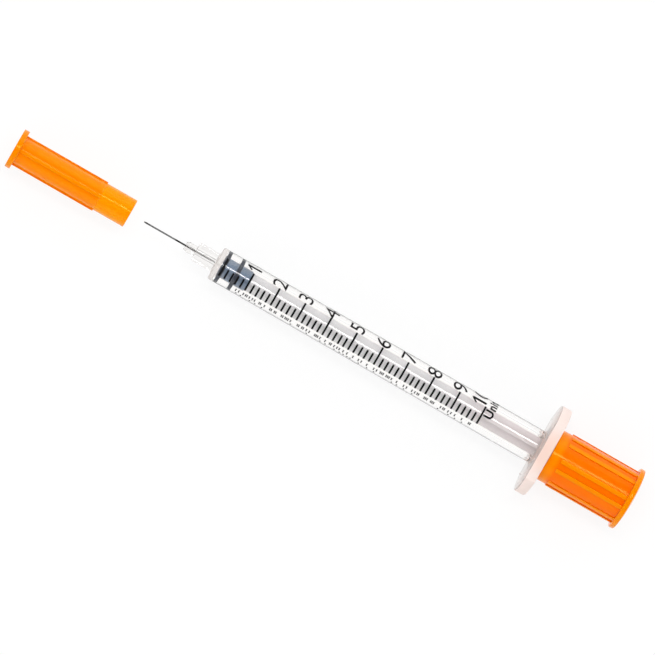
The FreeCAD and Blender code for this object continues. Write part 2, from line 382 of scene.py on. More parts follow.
# %% [markdown]
# ## The barrel: one moulding
#
# Tube, finger flange, collar and needle hub are one piece of plastic. Its outline is a closed loop that
# goes up the needle's way, along the bore, round the collar and the flange, and back along the outside.
# Turned, it makes the whole wall at once, with no face inside the plastic. The needle's way leaves a
# hundredth of a millimetre of air round the steel. Without that air the hub would act as a lens, and the
# needle in it would look as thick as a straw does in a glass of water.

# %% Sizes of the barrel, in millimetres
bore_r = 2.363
barrel_r = 3.404
collar_r = 4.55
collar_bore_r = 3.45
flange_t = 2.2
flange_edge = 0.25
root_round = 0.6
lead = 0.3
flange_rear = collar_end - 4.0
flange_front = flange_rear - flange_t
needle_high = bench_box("needle")[1]
needle_r = needle_high.y
bore_end = needle_high.x + 0.2
shoulder = bore_end - 0.96
fin_front = shoulder - 4.48
core_r = 1.38
core_front_r = 1.32
step_r = 1.05
tip_r = 0.75
tip_start = hub_tip + 0.7
way_r = needle_r + 0.01
print("the bore runs", round(flange_rear - bore_end, 1), "mm")

# %% [markdown]
# ## Clear plastic
#
# The tube is clear polypropylene or a like plastic: it bends light about as much as light oil does. The
# Glass shader could show it, but the Principled shader bends light just as well, and then one recipe
# serves every finish of the syringe. A real moulding is never quite even, so faint streaks along the
# tube change how polished it is, and a relief of less than a thousandth of a millimetre bends what
# shows behind.
#
# The hub is a little hazy, the front wall is cloudy, and the thick rim of the flange is milky. That is
# done by mixing some matt plastic into the clear shader there. The flange's front face stays polished.
# The rim's milk is painted pink, most near its middle, as a painted glow of the orange cap behind it.

# %% The clear finish
CLEAR_BENDING = 1.49
TUBE_TINT = (1.0, 0.988, 0.978, 1)
STREAK_TINT = (0.992, 0.98, 0.972, 1)
NOSE_TINT = (0.945, 0.935, 0.925, 1)
FLANGE_TINT = (1.0, 0.97, 0.955, 1)
NOSE_MILK = (0.92, 0.87, 0.84, 1)
FACE_MILK = (1.0, 0.965, 0.95, 1)
# The rim's milky colours carry a painted pink glow of the orange cap behind the flange.
RIM_MIDDLE_MILK_AND_GLOW = (1.0, 0.75, 0.65, 1)
RIM_END_MILK_AND_GLOW = (1.0, 0.85, 0.79, 1)


def make_clear_plastic():
    finish = Finish("clear_plastic", Transmission_Weight=1.0, IOR=CLEAR_BENDING)
    streaks = finish.noise(along=12 * MM, across=0.8 * MM)
    grain = finish.noise(along=0.25 * MM, across=0.25 * MM)
    along = finish.place_along()
    hub = finish.ramp_down(along, (shoulder - 0.2) * MM, 0.1 * MM)
    front_wall = finish.ramp_down(along, bore_end * MM, 0.15 * MM) - hub
    flange = finish.ramp_up(along, (flange_front - 0.7) * MM, 0.4 * MM)
    rim = finish.ramp_up(along, (flange_front + 0.05) * MM, 0.25 * MM)
    rim_end_glow_fade = finish.ramp_up(finish.distance_from_axis(), 7.2 * MM, 1.6 * MM)
    tint = finish.blend(streaks, TUBE_TINT, STREAK_TINT)
    tint = finish.blend(hub + front_wall, tint, NOSE_TINT)
    tint = finish.blend(flange, tint, FLANGE_TINT)
    finish.wear(Base_Color=tint, Roughness=0.01 + streaks * 0.02 + rim * (0.25 + grain * 0.1),
                Normal=finish.bump(streaks, 0.0004 * MM))
    # painted pink glow on the milky rim, strongest near its middle
    milk_and_glow_colour = finish.blend(rim_end_glow_fade, RIM_MIDDLE_MILK_AND_GLOW, RIM_END_MILK_AND_GLOW)
    milk_and_glow_colour = finish.blend(rim, FACE_MILK, milk_and_glow_colour)
    milk_and_glow_colour = finish.blend(flange, NOSE_MILK, milk_and_glow_colour)
    milk_and_glow = finish.node("ShaderNodeBsdfPrincipled", {},
                       {"Base Color": milk_and_glow_colour, "Roughness": 0.6, "Specular IOR Level": 0.2})
    flange_share = flange * (0.15 + rim * 0.57 + grain * 0.08)
    finish.mix_in(milk_and_glow, hub * 0.06 + front_wall * 0.55 + flange_share)
    return finish.material


clear_plastic = make_clear_plastic()
print("made", clear_plastic.name)

# %% Turn the barrel
needle_side = [(hub_tip, way_r), (bore_end, way_r)]
bore_side = [(bore_end, bore_r), (flange_rear - lead, bore_r), (flange_rear, bore_r + lead)]
collar_side = [(flange_rear, collar_bore_r), (collar_end, collar_bore_r)]
collar_side += arc(collar_end - lead, collar_r - lead, lead, 0, 90, 4)
flange_side = arc(flange_rear - flange_edge, flange_r - flange_edge, flange_edge, 0, 90, 4)
flange_side += arc(flange_front + flange_edge, flange_r - flange_edge, flange_edge, 90, 180, 4)
outside = arc(flange_front - root_round, barrel_r + root_round, root_round, 0, -90, 6)
outside += arc(shoulder + lead, barrel_r - lead, lead, 90, 180, 4)
hub_side = [(shoulder, core_r), (fin_front, core_front_r), (fin_front, step_r), (tip_start, step_r),
            (hub_tip, tip_r)]
barrel = turned("barrel_look", needle_side + bore_side + collar_side + [(flange_rear, collar_r)]
                + flange_side + outside + hub_side, loop=True)
print("turned", len(barrel.data.polygons), "faces")

# %% [markdown]
# The flange is round in the lathe, but the real one has two flats, so that the syringe doesn't roll off
# the table. Bisect slices the flange with a plane, throws the outer part away and closes the cut.

# %% Cut the two flats and round their edges
flat_round = 0.15
for side in (1, -1):
    edit(barrel)
    bpy.ops.mesh.select_all(action="SELECT")
    bpy.ops.mesh.bisect(plane_co=(0, 0, side * flat_height), plane_no=(0, 0, side),
                        clear_outer=True, use_fill=True, threshold=MERGE)
    leave_edit()
edit(barrel, "EDGE")


def on_flat_rim(edge):
    """An edge of either flat."""
    return all(abs(abs(vert.co.z) - flat_height) < MERGE for vert in edge.verts)


rim_edges = select_where(barrel, "edges", on_flat_rim)
bpy.ops.mesh.bevel(offset=flat_round, segments=ROUND_STEPS, affect="EDGES")
leave_edit()
print("rounded", rim_edges, "edges of the flats")

# %% [markdown]
# Four fins on the hub hold the needle's cap. They could be extruded from the hub's faces, but a bar with
# rounded edges keeps its own even width. It is copied to four places round the axis, and all four copies
# are joined to the barrel.

# %% Add the hub's fins
fin_tip_r = 1.95
fin_half = 0.6
fin_root_r = 0.95
fin_round = 0.25
fin_rear = shoulder + 0.2


def at_fin_tip(middle):
    """The outer edges of a fin, apart from the one buried in the barrel's front."""
    return middle.z > fin_tip_r - MERGE and middle.x < shoulder


fin = rounded_bar("fin", (fin_front, -fin_half, fin_root_r), (fin_rear, fin_half, fin_tip_r),
                  fin_round, at_fin_tip)
combine(barrel, copies_round_axis(fin, (0, 90, 180, 270)))
finish_piece(barrel, clear_plastic, "barrel", "barrel")

# %% [markdown]
# ## Orange caps: a satin plastic
#
# Both caps are the same orange polypropylene, which lets some light through. A thin place, such as
# the open sleeve, the tip of a rib or the rim, glows yellower than the thick body. Subsurface scattering
# softens the light in the plastic, but with it alone the change of colour is too faint, so each cap
# tells the finish where its thin parts are, and they get a painted glow. The foot of a rib gets a
# painted shade, and the plunger's cap a painted shade over its body. The melt also leaves soft clouds
# where it flowed.

# %% The orange finish
# The deep orange serves the melt's clouds and the painted shade of the plunger cap's body; the foot
# orange is painted shade in the ribs' creases; the thin orange is a painted glow of thin plastic.
CLOUD_AND_SHADE_ORANGE = (0.97, 0.135, 0.0, 1)
BODY_ORANGE = (1.0, 0.28, 0.0, 1)
THIN_GLOW_ORANGE = (1.0, 0.37, 0.0, 1)
FOOT_SHADE_ORANGE = (0.75, 0.11, 0.0, 1)
WARM_SHINE = (1.0, 0.75, 0.15, 1)
SOFT_REACH = (1.0, 0.3, 0.05)
RIB_FOOT = 0.02
RIB_LIGHT = 0.14
SLEEVE_FADE = 1.2


def make_orange_plastic(name, body_radius, sleeve_edge, sleeve_side, depth):
    """The caps' finish. The sleeve starts at its edge, on side 1 or -1. Depth is how much painted shade
    darkens the body.
    """
    finish = Finish(name, Specular_IOR_Level=0.32, Specular_Tint=WARM_SHINE, Subsurface_Weight=0.5,
                    Subsurface_Radius=SOFT_REACH, Subsurface_Scale=0.3 * MM)
    clouds = finish.noise(along=9 * MM, across=3 * MM, detail=2.0)
    grain = finish.noise(along=0.12 * MM, across=0.12 * MM)
    radius = finish.distance_from_axis()
    ramp = finish.ramp_up if sleeve_side > 0 else finish.ramp_down
    sleeve_glow = ramp(finish.place_along(), sleeve_edge * MM, SLEEVE_FADE * MM)
    # painted shade at the foot of each rib, painted glow on the rib tips, the rim and the sleeve
    foot_shade = finish.ramp_up(radius, (body_radius + RIB_FOOT) * MM, 0.03 * MM)
    thin_glow = finish.ramp_up(radius, (body_radius + RIB_LIGHT) * MM, 0.06 * MM)
    colour = finish.blend(depth + clouds * 0.25, BODY_ORANGE, CLOUD_AND_SHADE_ORANGE)
    colour = finish.blend(foot_shade, colour, FOOT_SHADE_ORANGE)
    colour = finish.blend(sleeve_glow * 0.5, colour, THIN_GLOW_ORANGE)
    colour = finish.blend(thin_glow * 0.6, colour, THIN_GLOW_ORANGE)
    finish.wear(Base_Color=colour, Roughness=0.09 + clouds * 0.04 + grain * 0.02,
                Normal=finish.bump(grain, 0.003 * MM))
    return finish.material


print("an orange finish is made for each cap")

# %% [markdown]
# ## The plunger's cap
#
# This cup covers the thumb end until the syringe is used. It has a plain sleeve that grips the barrel's
# collar, pairs of ribs for the fingers and a rim with a domed end. A cylinder with a Solidify modifier
# would give an even wall, but this wall is thicker at the rim and opens at the mouth, so the cup is
# turned. The ribs are bars with rounded edges, joined to it.

# %% Turn the plunger's cap
cup_low, cup_high = bench_box("plunger_cap")
cup_mouth = cup_low.x
cup_rim_r = cup_high.y
cup_r = cup_rim_r - 1.05
cup_bore_r = cup_r - 0.785
cup_dome = 0.6
cup_end = cup_high.x - cup_dome
cup_rim_front = cup_end - 1.08
cup_inner_end = cup_end - 1.0
edge = 0.12
rim_edge = 0.32
print("the cup is", round(cup_end - cup_mouth, 1), "mm long")


def dome(x, rise, radius, steps):
    """A shallow crown from its edge to nearly its middle."""
    points = []
    for i in range(1, steps + 1):
        share = 1 - i / (steps + 0.2)
        points.append((x + rise * (1 - share ** 2), radius * share))
    return points


def cup_outline():
    """The cup, from the middle of its inside, round its mouth and rim, to the middle of its dome."""
    inside = [(cup_inner_end, 0.5), (cup_inner_end, cup_bore_r), (cup_mouth + lead, cup_bore_r),
              (cup_mouth, cup_bore_r + edge)]
    outside = arc(cup_mouth + edge, cup_r - edge, edge, 180, 90, 3)
    outside += [(cup_rim_front - edge, cup_r), (cup_rim_front, cup_r + edge)]
    outside += arc(cup_rim_front + rim_edge, cup_rim_r - rim_edge, rim_edge, 180, 90, 6)
    outside += arc(cup_end - rim_edge, cup_rim_r - rim_edge, rim_edge, 90, 0, 6)
    return inside + outside + dome(cup_end, cup_dome, cup_rim_r - rim_edge, 10)


plunger_cap = turned("plunger_cap_look", cup_outline(), sides=240)
print("turned", len(plunger_cap.data.polygons), "faces")

# %% Add the ribs of the plunger's cap
cup_rib_tip = cup_r + 0.26
cup_rib_root = cup_r - 0.4
cup_rib_half = 0.46
cup_rib_round = 0.16
cup_rib_start = cup_mouth + 2.2
rib_in_rim = 0.3
rib_pairs = 6
pair_gap = 22


def at_rib_tip(middle):
    """The edges along a rib's tip and at its free end."""
    return middle.z > cup_rib_tip - MERGE and middle.x < cup_rim_front


cup_rib = rounded_bar("rib", (cup_rib_start, -cup_rib_half, cup_rib_root),
                      (cup_rim_front + rib_in_rim, cup_rib_half, cup_rib_tip), cup_rib_round, at_rib_tip)
cup_rib_angles = []
for pair in range(rib_pairs):
    first = 360 * pair / rib_pairs
    cup_rib_angles += [first, first + pair_gap]
combine(plunger_cap, copies_round_axis(cup_rib, cup_rib_angles))
# the plunger cap's depth is a painted shade over its body, between its ribs
cup_orange = make_orange_plastic("plunger_cap_orange", cup_r, sleeve_edge=cup_rib_start - 1.0,
                                 sleeve_side=-1, depth=0.62)
finish_piece(plunger_cap, cup_orange, "plunger_cap", "plunger_cap")

# %% [markdown]
# ## The needle's cap
#
# A long thin tube that slides over the needle and grips the hub's fins. Its sleeve is plain, its body
# has four ribs, and a small disc closes the far end. Its bore has a wide grip and a narrow tunnel, which
# a turned outline gives in the same go as the outside, where two cylinders would need a Boolean.

# %% Turn the needle's cap
sheath_low, sheath_high = bench_box("needle_cap")
sheath_end = sheath_low.x
sheath_mouth = sheath_high.x
sheath_rim_r = sheath_high.y
body_r = sheath_rim_r - 1.27
sleeve_r = body_r + 0.1
grip_r = sleeve_r - 0.9
tunnel_r = 1.5
grip_end = sheath_mouth - 5.38
tunnel_end = sheath_end + 1.6
rim_rear = sheath_end + 1.08
sleeve_front = sheath_mouth - 6.72


def sheath_outline():
    """The needle's cap, from the end of its tunnel, round its mouth, to the middle of its disc."""
    inside = [(tunnel_end, 0.3), (tunnel_end, tunnel_r), (grip_end, tunnel_r), (grip_end, grip_r),
              (sheath_mouth - lead, grip_r), (sheath_mouth, grip_r + edge)]
    outside = arc(sheath_mouth - edge, sleeve_r - edge, edge, 0, 90, 3)
    outside += [(sleeve_front + edge, sleeve_r), (sleeve_front, body_r), (rim_rear + edge, body_r),
                (rim_rear, body_r + edge)]
    outside += arc(rim_rear - edge, sheath_rim_r - edge, edge, 0, 90, 4)
    outside += arc(sheath_end + edge, sheath_rim_r - edge, edge, 90, 180, 4)
    return inside + outside + [(sheath_end, 0.3)]


needle_cap = turned("needle_cap_look", sheath_outline(), sides=180)
print("turned", len(needle_cap.data.polygons), "faces")

# %% Add the ribs of the needle's cap
sheath_rib_tip = body_r + 0.36
sheath_rib_root = body_r - 0.5
sheath_rib_half = 0.4
sheath_rib_round = 0.14


def at_sheath_rib_tip(middle):
    """The edges along a rib's tip and at its free end, next to the sleeve."""
    return middle.z > sheath_rib_tip - MERGE and middle.x > rim_rear


sheath_rib = rounded_bar("rib", (rim_rear - rib_in_rim, -sheath_rib_half, sheath_rib_root),
                         (sleeve_front + edge, sheath_rib_half, sheath_rib_tip),
                         sheath_rib_round, at_sheath_rib_tip)
combine(needle_cap, copies_round_axis(sheath_rib, (0, 90, 180, 270)))
sheath_orange = make_orange_plastic("needle_cap_orange", sleeve_r, sleeve_edge=sleeve_front - 0.6,
                                    sleeve_side=1, depth=0.0)
finish_piece(needle_cap, sheath_orange, "needle_cap", "needle_cap")

# %% [markdown]
# ## Rubber stopper
#
# Two ribs of the stopper are squeezed against the bore. Where rubber touches the wall there is no air
# between them, so seen through the tube they fill its whole width, while the waist between them looks as
# narrow as it is. So the ribs are modelled a hundredth of a millimetre into the wall. Rubber is a plain
# surface with a soft gloss. Its finish only has to know where it is pressed: there it reflects almost
# nothing and looks nearly black, and that is painted on as a painted shade.

# %% The rubber finish
RUBBER_BLUE = (0.115, 0.185, 0.29, 1)
RUBBER_PALE = (0.15, 0.225, 0.345, 1)
# The pressed ribs' colour is a painted shade, nearly black.
PRESSED_SHADE_BLUE = (0.003, 0.012, 0.034, 1)
PRESSED_FROM = 2.2


def make_rubber():
    finish = Finish("rubber", Specular_IOR_Level=0.75)
    mottle = finish.noise(along=1.2 * MM, across=1.2 * MM)
    grain = finish.noise(along=0.08 * MM, across=0.08 * MM)
    # painted shade: the ribs pressed against the wall are painted nearly black
    pressed_shade = finish.ramp_up(finish.distance_from_axis(), PRESSED_FROM * MM, 0.1 * MM)
    colour = finish.blend(mottle, RUBBER_BLUE, RUBBER_PALE)
    colour = finish.blend(pressed_shade, colour, PRESSED_SHADE_BLUE)
    finish.wear(Base_Color=colour, Roughness=0.3 + grain * 0.12, Normal=finish.bump(grain, 0.004 * MM))
    return finish.material


rubber = make_rubber()
print("made", rubber.name)

# %% Turn the stopper
stopper_low, stopper_high = bench_box("stopper")
stopper_front = stopper_low.x
stopper_rear = stopper_high.x
waist_r = 2.1
rib_r = bore_r + 0.01
rib_width = 0.8
rib_pitch = 2.93
rib_round = 0.06
neck_end = stopper_rear - 1.1
socket_neck_r = 0.8
socket_r = 1.28
socket_tip = (stopper_rear - 2.4, 0.55)


def rib_profile(start):
    """One sealing rib with rounded shoulders."""
    end = start + rib_width
    points = [(start, waist_r)]
    points += arc(start + rib_round, rib_r - rib_round, rib_round, 180, 90, 4)
    points += arc(end - rib_round, rib_r - rib_round, rib_round, 90, 0, 4)
    return points + [(end, waist_r)]


stopper_outline = [(stopper_front, 0.4)] + rib_profile(stopper_front)
stopper_outline += rib_profile(stopper_front + rib_pitch)
stopper_outline += arc(stopper_rear - rib_round, waist_r - rib_round, rib_round, 90, 0, 4)
stopper_outline += [(stopper_rear, socket_neck_r), (neck_end, socket_neck_r), (neck_end, socket_r),
                    socket_tip]
stopper = turned("stopper_look", stopper_outline)
finish_piece(stopper, rubber, "plunger", "stopper")

# %% [markdown]
# ## The plunger
# A rod with a cross-shaped section is light and doesn't warp as it cools. Two crossed bars would need a
# Boolean, so a square bar is the start, and its four long sides are drawn outwards. The nose that snaps
# into the stopper, the disc behind it and the thumb pad are turned and joined on. The plastic is a
# neutral white that lets light through, and near the orange cap it gets a painted warm glow, which
# stands for the cap's light shining along it.

# %% The plunger's finish
ROD_WHITE = (0.84, 0.835, 0.85, 1)
ROD_STREAK = (0.90, 0.895, 0.91, 1)
# The warm colour is a painted glow of the orange cap's light.
ROD_ORANGE_GLOW = (0.86, 0.79, 0.80, 1)
GLOW_FROM = -26
GLOW_FADE = 20


def make_white_plastic():
    finish = Finish("white_plastic", Specular_IOR_Level=0.12)
    streaks = finish.noise(along=8 * MM, across=0.6 * MM)
    grain = finish.noise(along=0.1 * MM, across=0.1 * MM)
    # painted glow: warmth painted on the rod towards the orange cap
    orange_glow = finish.ramp_up(finish.place_along(), GLOW_FROM * MM, GLOW_FADE * MM)
    colour = finish.blend(streaks, ROD_WHITE, ROD_STREAK)
    colour = finish.blend(orange_glow * 0.8, colour, ROD_ORANGE_GLOW)
    finish.wear(Base_Color=colour, Roughness=0.5 + streaks * 0.15,
                Normal=finish.bump(grain, 0.004 * MM))
    return finish.material


white_plastic = make_white_plastic()
print("made", white_plastic.name)

# %% Draw out the cross-shaped rod
plunger_high = bench_box("plunger")[1]
pad_rear = plunger_high.x
pad_front = pad_rear - 1.3
pad_r = plunger_high.y
rod_r = 1.82
web_half = 0.44
rod_length = pad_front - stopper_rear + 0.4
pick()
bpy.ops.mesh.primitive_cube_add(size=1, location=((pad_front + stopper_rear) / 2, 0, 0))
rod = bpy.context.object
rod.name = "plunger_look"
rod.scale = (rod_length, 2 * web_half, 2 * web_half)
bpy.ops.object.transform_apply(location=True, rotation=True, scale=True)
edit(rod)
select_where(rod, "faces", lambda face: abs(face.normal.x) < 0.5)
bpy.ops.mesh.extrude_faces_move(TRANSFORM_OT_shrink_fatten={"value": rod_r - web_half})
leave_edit()
print("the rod has", len(rod.data.polygons), "faces")

# %% Round the rod's long edges
web_round = 0.14
edit(rod, "EDGE")


def outer_long_edge(edge):
    """A long edge at the tip of a web."""
    middle = (edge.verts[0].co + edge.verts[1].co) / 2
    long = abs(edge.verts[0].co.x - edge.verts[1].co.x) > 1
    return long and math.hypot(middle.y, middle.z) > 1


count = select_where(rod, "edges", outer_long_edge)
bpy.ops.mesh.bevel(offset=web_round, segments=ROUND_STEPS, affect="EDGES")
leave_edit()
print("rounded", count, "long edges")

# %% Turn the nose and the thumb pad, and join them on
nose_tip = (stopper_rear - 2.38, 0.5)
nose_r = 1.22
neck_r = 0.72
seat_rear = stopper_rear + 0.6
seat_round = 0.1
pad_middle_r = 1.0
pad_round = 0.35
nose_outline = [nose_tip, (neck_end, nose_r), (neck_end, neck_r), (stopper_rear, neck_r),
                (stopper_rear, rod_r - seat_round), (stopper_rear + seat_round, rod_r),
                (seat_rear - seat_round, rod_r), (seat_rear, rod_r - seat_round)]
pad_outline = [(pad_front, pad_middle_r)]
pad_outline += arc(pad_front + pad_round, pad_r - pad_round, pad_round, 180, 90, 5)
pad_outline += arc(pad_rear - pad_round, pad_r - pad_round, pad_round, 90, 0, 5)
pad_outline += [(pad_rear, pad_middle_r)]
nose = turned("nose", nose_outline, sides=96)
pad = turned("pad", pad_outline, sides=120)
combine(rod, nose)
combine(rod, pad)
finish_piece(rod, white_plastic, "plunger", "plunger")

# %% [markdown]
# ## Steel, adhesive and ink
#
# The needle and its bead of adhesive already have the right shape, so they stay and only get a finish.
# Drawn steel has fine lines along its length, and it is darker near the hub. The cured adhesive is
# almost clear.
#
# Printing ink has a slightly uneven gloss. The numbers reach far round the tube, and the wall would
# mirror their undersides in front of the others, which a real tube hardly shows. So the undersides of
# their ink are painted white and glow a little, a painted light that keeps those mirror images pale.

# %% Finishes for steel and adhesive
STEEL_GREY = (0.15, 0.15, 0.15, 1)
STEEL_LINE = (0.22, 0.22, 0.22, 1)
STEEL_DARK_NEAR_HUB = (0.01, 0.009, 0.008, 1)
DARK_REACH = 2.3
GLUE_GREY = (0.55, 0.55, 0.54, 1)
GLUE_PALE = (0.68, 0.68, 0.67, 1)


def make_steel():
    finish = Finish("steel", Metallic=1.0)
    lines = finish.noise(along=4 * MM, across=0.03 * MM)
    along = finish.place_along()
    # darker over a short reach of the needle near the hub
    dark_near_hub = finish.ramp_up(along, (hub_tip - DARK_REACH) * MM, 0.3 * MM)
    dark_near_hub = dark_near_hub - finish.ramp_up(along, fin_front * MM, 0.3 * MM)
    colour = finish.blend(lines, STEEL_GREY, STEEL_LINE)
    colour = finish.blend(dark_near_hub, colour, STEEL_DARK_NEAR_HUB)
    finish.wear(Base_Color=colour, Roughness=0.3 + lines * 0.12, Normal=finish.bump(lines, 0.0002 * MM))
    return finish.material


def make_adhesive():
    finish = Finish("adhesive", Specular_IOR_Level=0.5)
    clouds = finish.noise(along=0.6 * MM, across=0.3 * MM)
    colour = finish.blend(clouds, GLUE_GREY, GLUE_PALE)
    finish.wear(Base_Color=colour, Roughness=0.12 + clouds * 0.08, Alpha=0.03 + clouds * 0.06)
    return finish.material


for node, material in (("needle", make_steel()), ("needle_glue", make_adhesive())):
    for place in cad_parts[node].material_slots:
        place.material = material
    print(node, "is finished in", material.name)

# %% The ink
marks_low, marks_high = bench_box("scale_marks")
ink_r = marks_high.z
INK_BLACK = (0.002, 0.002, 0.0025, 1)
INK_SPECK = (0.007, 0.007, 0.008, 1)
# The white of the ink's underside is painted light.
UNDERSIDE_GLOW_WHITE = (0.95, 0.95, 0.95, 1)
NO_LIGHT = (0, 0, 0, 1)
WHITE_LIGHT = (1, 1, 1, 1)


def make_ink(name, underside_light):
    """Black ink. With some light, its underside is painted white and glows with that much of it, as
    painted light.
    """
    finish = Finish(name, Specular_IOR_Level=0.08, Emission_Strength=underside_light)
    specks = finish.noise(along=0.1 * MM, across=0.1 * MM)
    colour = finish.blend(specks, INK_BLACK, INK_SPECK)
    if underside_light:
        # painted light: the underside is painted white and glows
        glowing_underside = finish.ramp_down(finish.distance_from_axis(), (ink_r - 0.009) * MM, 0.004 * MM)
        colour = finish.blend(glowing_underside, colour, UNDERSIDE_GLOW_WHITE)
        finish.wear(Emission_Color=finish.blend(glowing_underside, NO_LIGHT, WHITE_LIGHT))
    finish.wear(Base_Color=colour, Roughness=0.45 + specks * 0.2, Normal=finish.bump(specks, 0.002 * MM))
    return finish.material


ink = make_ink("ink", 0.0)
number_ink = make_ink("number_ink", 0.55)
print("ink stands at a radius of", round(ink_r, 2), "mm")

# %% [markdown]
# ## Numbers on a round tube
#
# The numbers are printed on the curved wall, so flat letters would stand off it. Each label is written
# flat, given a little thickness, sliced into narrow strips with Bisect so that it can bend, and then
# bent to the tube's radius with the Simple Deform modifier.

# %% The lettering helpers
ink_t = 0.02
strip = 0.25
INK_SMOOTH = math.radians(20)


def flat_text(name, text, tall, widen, weight, spacing):
    """Lettering that lies flat, as a thin solid: tall is its height, widen stretches it sideways."""
    pick()
    bpy.ops.object.text_add()
    label = bpy.context.object
    label.name = name
    label.data.body = text
    label.data.extrude = ink_t / 2
    label.data.offset = weight
    label.data.resolution_u = 4
    label.data.space_character = spacing
    bpy.ops.object.convert(target="MESH")
    size = tall / max(vert.co.y for vert in label.data.vertices)
    label.data.transform(Matrix.Diagonal((size * widen, size, 1, 1)))
    return label


def add_flag(label, stroke):
    """Give a figure one, which this font draws as a bare stem, its slanting flag."""
    stem = min(label.data.vertices, key=lambda vert: vert.co.x).co.x + stroke / 2
    top = max(vert.co.y for vert in label.data.vertices)
    drop = 1.0
    reach = 0.75
    pick()
    bpy.ops.mesh.primitive_cube_add(size=1)
    flag = bpy.context.object
    flag.data.transform(Matrix.Diagonal((stroke * 0.9, math.hypot(drop, reach), ink_t, 1)))
    edit(flag)
    bpy.ops.mesh.select_all(action="SELECT")
    bpy.ops.transform.rotate(value=math.atan2(reach, drop), orient_axis="Z", center_override=(0, 0, 0))
    bpy.ops.transform.translate(value=(stem - reach / 2, top - drop / 2 - stroke * 0.35, 0))
    leave_edit()
    combine(label, flag)


def wrap(label, x_bottom, start_angle):
    """Slice flat lettering into strips and bend it round the tube, from an angle past the top."""
    width = max(vert.co.x for vert in label.data.vertices)
    edit(label)
    for i in range(1, int(width / strip) + 1):
        bpy.ops.mesh.select_all(action="SELECT")
        bpy.ops.mesh.bisect(plane_co=(i * strip, 0, 0), plane_no=(1, 0, 0), threshold=MERGE)
    leave_edit()
    low = min(vert.co.x for vert in label.data.vertices)
    middle = (low + width) / 2
    label.data.transform(Matrix.Translation((-middle, 0, 0)))
    label.data.transform(Matrix.Rotation(math.pi / 2, 4, "X"))
    pick(label)
    bpy.ops.object.modifier_add(type="SIMPLE_DEFORM")
    bend = label.modifiers[-1]
    bend.deform_method = "BEND"
    bend.deform_axis = "Z"
    bend.angle = (width - low) / ink_r
    bpy.ops.object.modifier_apply(modifier=bend.name)
    stand = Matrix(((0, 0, -1, x_bottom), (1, 0, 0, 0), (0, -1, 0, ink_r - ink_t / 2), (0, 0, 0, 1)))
    label.data.transform(stand)
    label.data.transform(Matrix.Rotation(-math.radians(start_angle) - middle / ink_r, 4, "X"))
    return label


print("a label is sliced every", strip, "mm")

# %% Write the numbers
mark_width = 0.32
scale_start = marks_low.x + mark_width / 2
scale_end = marks_high.x - mark_width / 2
tens_pitch = (scale_end - scale_start) / 10
digit_height = 3.06
digit_widen = 1.22
stem_width = 0.38
plain_spacing = 1.1
hundred_spacing = 0.82
plain_angle = 31
first_angle = 33
hundred_angle = 20.5
labels = []
for ten in range(1, 11):
    spacing = hundred_spacing if ten == 10 else plain_spacing
    label = flat_text("scale_numbers", str(10 * ten), digit_height, digit_widen, 0.0, spacing)
    if ten in (1, 10):
        add_flag(label, stem_width)
    mark = scale_start + ten * tens_pitch
    if ten == 10:
        labels.append(wrap(label, mark - 0.1, hundred_angle))
    else:
        start_angle = first_angle if ten == 1 else plain_angle
        labels.append(wrap(label, mark + digit_height / 2 - 0.3, start_angle))
pick(*labels)
bpy.ops.object.join()
finish_piece(bpy.context.object, number_ink, "barrel", smooth=INK_SMOOTH)

# %% Write the word Units
units_height = 1.77
units_weight = 0.035
units_x = scale_end + 2.07
units_angle = -0.5
units = flat_text("units_word", "Units", units_height, 1.0, units_weight, plain_spacing)
finish_piece(wrap(units, units_x, units_angle), number_ink, "barrel", smooth=INK_SMOOTH)

# %% [markdown]
# The lines of the scale are bars of ink that follow the tube. One short and one long line are modelled
# as thin slabs, sliced and bent like a letter, and copied to their places, every two units. Wet ink
# spreads a little, so a printed line is a few hundredths of a millimetre wider than the measured one.

# %% Print the lines of the scale
line_width = mark_width + 0.06
line_angle = 33
lines_per_long = 5
line_count = 51


def curved_bar(long, wide, angle):
    """A thin slab of ink, wide round the tube, that starts at an angle down the short lines' side."""
    pick()
    bpy.ops.mesh.primitive_cube_add(size=1)
    bar = bpy.context.object
    edit(bar)
    bpy.ops.mesh.select_all(action="SELECT")
    bpy.ops.transform.resize(value=(wide, long, ink_t))
    bpy.ops.transform.translate(value=(wide / 2, 0, 0))
    leave_edit()
    return wrap(bar, 0, -angle - math.degrees(wide / ink_r))


def print_row(name, places, material, node=None):
    """Copy bars to their places along the tube and join them into one piece."""
    made = []
    for bar, x in places:
        copy = bar.copy()
        copy.data = bar.data.copy()
        bpy.context.scene.collection.objects.link(copy)
        copy.data.transform(Matrix.Translation((x, 0, 0)))
        made.append(copy)
    for bar in dict.fromkeys(bar for bar, x in places):
        bpy.data.objects.remove(bar)
    pick(*made)
    bpy.ops.object.join()
    bpy.context.object.name = name
    finish_piece(bpy.context.object, material, "barrel", node, smooth=INK_SMOOTH)
    return len(made)


line_length = math.radians(line_angle) * ink_r
short_line = curved_bar(line_width, line_length, 0)
long_line = curved_bar(line_width, 2 * line_length, -line_angle)
line_pitch = (scale_end - scale_start) / (line_count - 1)
line_places = []
for i in range(line_count):
    bar = short_line if i % lines_per_long else long_line
    line_places.append((bar, scale_start + i * line_pitch))
print("printed", print_row("scale_lines", line_places, ink, "scale_marks"), "lines")

# %% [markdown]
# Two rows of fine plain bars run along the other side of the scale. They are the smallest printing on
# the tube. They stand in irregular groups, which a few patterns and a fixed row of random choices give.

# %% Print the rows of plain bars
import random

